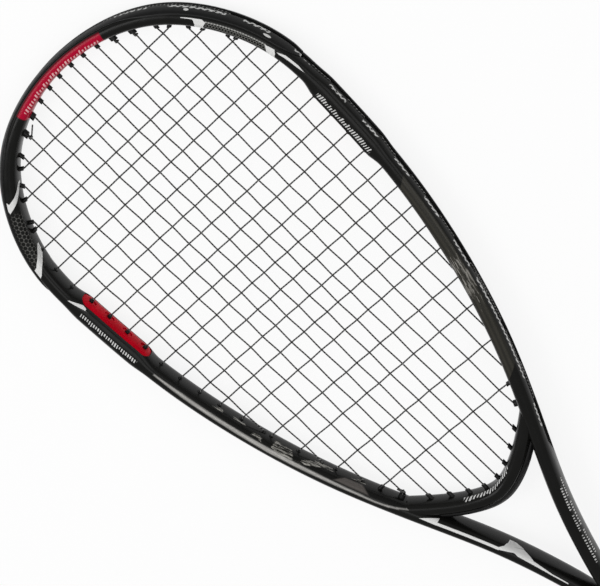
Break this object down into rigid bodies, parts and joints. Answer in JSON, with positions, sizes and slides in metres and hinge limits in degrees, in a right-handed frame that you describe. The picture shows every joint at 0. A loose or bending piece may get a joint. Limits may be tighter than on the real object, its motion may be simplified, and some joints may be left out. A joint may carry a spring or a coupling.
{
  "type": "speed badminton racket",
  "caption": "Strung racket with an open throat, side blade inserts, string strips in the hoop's groove and a wound eight-sided handle that ends in a flat butt cap.",
  "frame": {"origin": "centre of the butt cap's flat end face", "axes": "+Y along the racket from the butt to the tip, +X across the head, +Z square to the string bed, which lies in the plane z = 0"},
  "size_m": [0.2108, 0.6002, 0.0342],
  "materials": {
    "carbon": "clear-coated black carbon with silver and red accents",
    "nylon": "moulded black nylon",
    "insert": "deep red, satin",
    "string": "black multifilament string",
    "pallet": "hard grey foam",
    "grip": "perforated black synthetic leather",
    "tape": "black self-adhesive tape",
    "collar": "soft black rubber",
    "cap": "black moulded cap",
    "steel": "bright wire and tack"
  },
  "bodies": {
    "root": {"hoop_frame": "carbon", "throat_bridge": "carbon", "head_bumper": "nylon", "blade_insert_left": "insert", "blade_insert_right": "insert", "side_grommet_strip_left": "nylon", "side_grommet_strip_right": "nylon", "bridge_grommet_strip": "nylon", "main_string": "string", "cross_string": "string", "handle_pallet_front": "pallet", "handle_pallet_back": "pallet", "grip_wrap": "grip", "finishing_tape": "tape", "grip_collar": "collar", "butt_cap": "cap", "grip_tack": "steel", "cap_staple_left": "steel", "cap_staple_right": "steel"}
  },
  "joints": []
}
